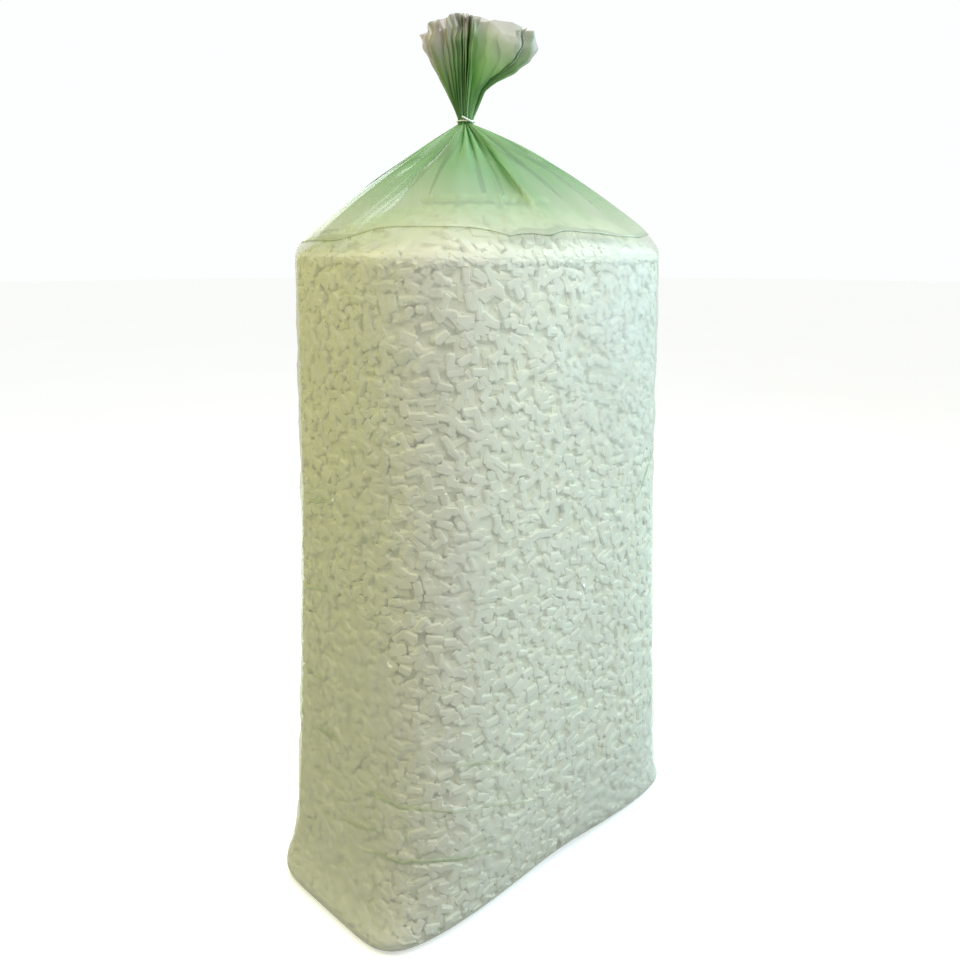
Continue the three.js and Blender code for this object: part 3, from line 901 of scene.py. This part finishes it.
class PEANUTBAG_OT_peanuts(bpy.types.Operator):
    """Makes the foam peanuts that show round the sides and on top of the fill, and the heap inside them"""

    bl_idname = "peanutbag.peanuts"
    bl_label = "Foam peanuts"

    def execute(self, context):
        settings = context.scene.bag_peanuts
        rng = np.random.default_rng(SEED + 1)
        foam = foam_material("peanut_foam", settings.colour)
        front_shape = peanut_shape(settings, 8, True)
        back_shape = peanut_shape(settings, 6, False)
        clear = 0.0022

        height = ROUND_RUN + SIDE_RUN
        count = int(GIRTH * height / settings.footprint)
        x, y, turn, lean = scatter(rng, count, GIRTH, height, settings.diameter, settings.length)
        side = frames_on(lambda a, b: side_point(a / GIRTH, b, clear), x, y)
        quarter = np.floor(x % GIRTH / GIRTH * 4).astype(int)
        for part in range(4):
            mine = quarter == part
            pour(
                f"peanuts_side_{part + 1}",
                front_shape,
                *(value[mine] for value in side),
                turn[mine],
                lean[mine],
                rng,
                foam,
                settings,
                0.0,
            )

        behind = int(count * 0.8)
        x, y, turn, lean = scatter(rng, behind, GIRTH, height, settings.diameter, settings.length, rounds=12)
        side = frames_on(lambda a, b: side_point(a / GIRTH, b, clear), x, y)
        # The deeper peanuts and the heap get a copy of the foam, a little yellower: painted olive shade for the light
        # that reaches them through the green film.
        shaded = foam_material("shaded_heap_foam", (0.92, 0.92, 0.84))
        pour("peanuts_behind", back_shape, *side, turn, lean, rng, shaded, settings, 0.003)

        # The dome: peanuts on its plan, kept inside the edge of the fill.
        half_length, half_width, squareness = (float(v) for v in section(FILL_EDGE))
        plan = 4 * half_length * half_width * 0.93

        def inside(px, py):
            cx, cy = px - half_length, py - half_width
            edge = oval(half_length - 0.006, half_width - 0.006, squareness, np.arctan2(cy, cx))
            shrink = np.minimum(1, edge / np.maximum(np.hypot(cx, cy), 1e-9))
            return cx * shrink + half_length, cy * shrink + half_width

        for name, shape, share, sink, rounds in (
            ("peanuts_top", front_shape, 1.12, 0.0, 45),
            ("peanuts_top_behind", back_shape, 0.8, 0.003, 12),
        ):
            count = int(plan / settings.footprint * share)
            x, y, turn, lean = scatter(
                rng, count, 8 * half_length, 2 * half_width, settings.diameter, settings.length, inside, rounds
            )
            x, y = inside(x % (8 * half_length) % (2 * half_length), y)
            x, y = x - half_length, y - half_width
            top = frames_on(lambda a, b: dome_point(a, b, clear), x, y)
            pour(name, shape, *top, turn, lean, rng, shaded if sink else foam, settings, sink)

        # The heap inside, which shows only between the peanuts.
        rings = []
        share = np.arange(96) / 96
        deep = 0.008
        runs = np.linspace(0, ROUND_RUN + SIDE_RUN, 60)
        for run in runs:
            rings.append(side_point(share, np.full_like(share, run), deep + clear))
        angle = angle_at(share)
        edge = body_reach(np.full_like(angle, FILL_EDGE), angle, deep + clear)
        for level in (0.97, 0.9, 0.8, 0.68, 0.54, 0.38, 0.2, 0.08):
            reach = edge * level
            z = FILL_EDGE - deep + DOME_RISE * (1 - level**DOME_FLATNESS)
            rings.append(np.stack((reach * np.cos(angle), reach * np.sin(angle), np.full_like(angle, z)), -1))
        rings = np.array(rings)
        rings[..., 2] = np.minimum(rings[..., 2], FILL_EDGE - deep + DOME_RISE)
        rings[: len(runs), :, 2] *= (FILL_EDGE - deep) / FILL_EDGE
        rings += (ripples(rings, 0.03, 21) * 0.003)[..., None] * np.array((1, 1, 0.3))
        rings[..., 2] = np.maximum(rings[..., 2], 0.012)
        count = len(rings)
        i, j = np.meshgrid(np.arange(96), np.arange(count - 1))
        beside = (i + 1) % 96
        quads = np.stack((j * 96 + i, j * 96 + beside, (j + 1) * 96 + beside, (j + 1) * 96 + i), -1).reshape(-1, 4)
        heap = mesh_object("peanut_heap", rings.reshape(-1, 3), quads)
        deselect_all()
        heap.select_set(True)
        context.view_layer.objects.active = heap
        bpy.ops.object.mode_set(mode="EDIT")
        bpy.ops.mesh.select_mode(type="EDGE")
        bpy.ops.mesh.select_all(action="DESELECT")
        bpy.ops.mesh.select_non_manifold()
        bpy.ops.mesh.edge_face_add()
        bpy.ops.object.mode_set(mode="OBJECT")
        heap.data.materials.append(shaded)
        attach(heap, "root")
        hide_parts("peanut_fill")
        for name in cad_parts:
            if name.startswith("loose_peanut"):
                node = bpy.data.objects[name]
                node.data.materials.clear()
                node.data.materials.append(foam)
        return {"FINISHED"}


class PEANUTBAG_OT_wire(bpy.types.Operator):
    """Gives the wire round the neck its coating"""

    bl_idname = "peanutbag.wire"
    bl_label = "Wire tie"

    def execute(self, context):
        node = bpy.data.objects["wire_tie"]
        node.data.materials.clear()
        node.data.materials.append(wire_material(context.scene.bag_wire.colour))
        return {"FINISHED"}


def area_light(name, place, target, size, power, colour):
    data = bpy.data.lights.new(name, "AREA")
    data.shape, data.size, data.energy, data.color = "DISK", size, power, colour
    made = bpy.data.objects.new(name, data)
    made.location = place
    made.rotation_euler = (Vector(target) - Vector(place)).to_track_quat("-Z", "Y").to_euler()
    bpy.context.scene.collection.objects.link(made)
    return made


class PEANUTBAG_OT_stage(bpy.types.Operator):
    """Makes the floor, the soft lights and the camera"""

    bl_idname = "peanutbag.stage"
    bl_label = "Stage"

    def execute(self, context):
        settings = context.scene.bag_stage
        deselect_all()
        bpy.ops.mesh.primitive_circle_add(
            vertices=96, radius=settings.floor_size / 2, fill_type="NGON", location=(0, 0, -0.001)
        )
        floor = context.object
        floor.name = "floor"
        made, nodes, links, output = new_material("pale_floor")
        where = nodes.new("ShaderNodeTexCoord").outputs["Object"]
        base = ramp_node(nodes, links, noise_node(nodes, links, where, 1.2), ((0.3, 0.93), (0.7, 0.95)))
        skin = nodes.new("ShaderNodeBsdfPrincipled")
        skin.inputs["Roughness"].default_value = 0.9
        skin.inputs["Specular IOR Level"].default_value = 0.1
        skin.inputs["Emission Color"].default_value = (1, 1, 0.99, 1)
        skin.inputs["Emission Strength"].default_value = 0.38
        links.new(base, skin.inputs["Base Color"])
        links.new(skin.outputs["BSDF"], output.inputs["Surface"])
        floor.data.materials.append(made)
        floor.visible_diffuse = False

        world = bpy.data.worlds.new("pale_room")
        context.scene.world = world
        world.use_nodes = True
        sky = world.node_tree.nodes["Background"]
        sky.inputs["Strength"].default_value = settings.sky
        facing = world.node_tree.nodes.new("ShaderNodeTexCoord").outputs["Generated"]
        split = world.node_tree.nodes.new("ShaderNodeSeparateXYZ")
        world.node_tree.links.new(facing, split.inputs["Vector"])
        slope = maths_node(world.node_tree.nodes, world.node_tree.links, "MULTIPLY_ADD", split.outputs["Z"], 0.5, 0.5)
        glow = ramp_node(
            world.node_tree.nodes,
            world.node_tree.links,
            slope,
            (
                (0.42, (0.22, 0.25, 0.22)),
                (0.465, (0.98, 1.0, 1.0)),
                (0.66, (0.98, 1.0, 1.0)),
                (0.80, (0.50, 0.51, 0.48)),
            ),
        )
        world.node_tree.links.new(glow, sky.inputs["Color"])

        area_light("window_right", (2.3, -1.7, 1.95), (0.3, -0.2, 1.1), 2.0, 76, (0.38, 0.78, 1.0))
        area_light("window_high", (0.0, -1.6, 3.1), (0, -0.2, 1.1), 2.4, 64, (1.0, 0.98, 0.94))
        area_light("window_back", (0.9, 2.6, 2.0), (0.1, 0.25, 0.9), 2.2, 40, (0.92, 0.97, 1.0))
        area_light("lamp_left", (-2.0, 0.9, 2.3), (0, 0, 1.0), 0.6, 24, (1.0, 0.93, 0.42))

        # An olive card stands beside the bag, out of the camera's sight, and takes the white of the room off that end.
        deselect_all()
        bpy.ops.mesh.primitive_grid_add(x_subdivisions=2, y_subdivisions=2, size=1, location=(-2.1, 1.4, 1.5))
        card = context.object
        card.name = "olive_card"
        card.scale = (4.4, 3.6, 1)
        card.rotation_euler = (math.radians(90), 0, math.radians(-124))
        settle_in_place(card)
        card.visible_camera = False
        paint, paint_nodes, paint_links, paint_output = new_material("olive_card")
        matt = paint_nodes.new("ShaderNodeBsdfDiffuse")
        matt.inputs["Color"].default_value = (0.50, 0.46, 0.14, 1)
        paint_links.new(matt.outputs["BSDF"], paint_output.inputs["Surface"])
        card.data.materials.append(paint)

        data = bpy.data.cameras.new("camera")
        data.lens = settings.lens
        data.sensor_width = 36
        data.clip_end = 200
        camera = bpy.data.objects.new("camera", data)
        forward = Vector((0.6700, 0.6947, -0.2620)).normalized()
        right = forward.cross(Vector((0, 0, 1))).normalized()
        up = right.cross(forward)
        turn = Matrix((right, up, -forward)).transposed().to_4x4()
        camera.matrix_world = Matrix.Translation((-1.2526, -1.2806, 1.2988)) @ turn
        context.scene.collection.objects.link(camera)
        context.scene.camera = camera
        context.scene.view_settings.view_transform = "Standard"
        context.scene.cycles.transparent_max_bounces = 32
        return {"FINISHED"}


class PEANUTBAG_PT_panel(bpy.types.Panel):
    """Lists the steps that build the bag"""

    bl_label = "Peanut Bag"
    bl_idname = "PEANUTBAG_PT_panel"
    bl_space_type = "VIEW_3D"
    bl_region_type = "UI"
    bl_category = "Peanut Bag"

    def draw(self, context):
        for operator in OPERATORS:
            self.layout.operator(operator.bl_idname)


SETTINGS = {
    "bag_film": FilmSettings,
    "bag_peanuts": PeanutSettings,
    "bag_wire": WireSettings,
    "bag_stage": StageSettings,
}
OPERATORS = (PEANUTBAG_OT_stage, PEANUTBAG_OT_film, PEANUTBAG_OT_peanuts, PEANUTBAG_OT_wire)


def register():
    for made in (*SETTINGS.values(), *OPERATORS, PEANUTBAG_PT_panel):
        bpy.utils.register_class(made)
    for name, made in SETTINGS.items():
        setattr(bpy.types.Scene, name, bpy.props.PointerProperty(type=made))


def unregister():
    for name in SETTINGS:
        delattr(bpy.types.Scene, name)
    for made in reversed((*SETTINGS.values(), *OPERATORS, PEANUTBAG_PT_panel)):
        bpy.utils.unregister_class(made)


def main():
    register()
    bpy.ops.peanutbag.stage()
    bpy.ops.peanutbag.film()
    bpy.ops.peanutbag.peanuts()
    bpy.ops.peanutbag.wire()


if __name__ == "__main__":
    main()
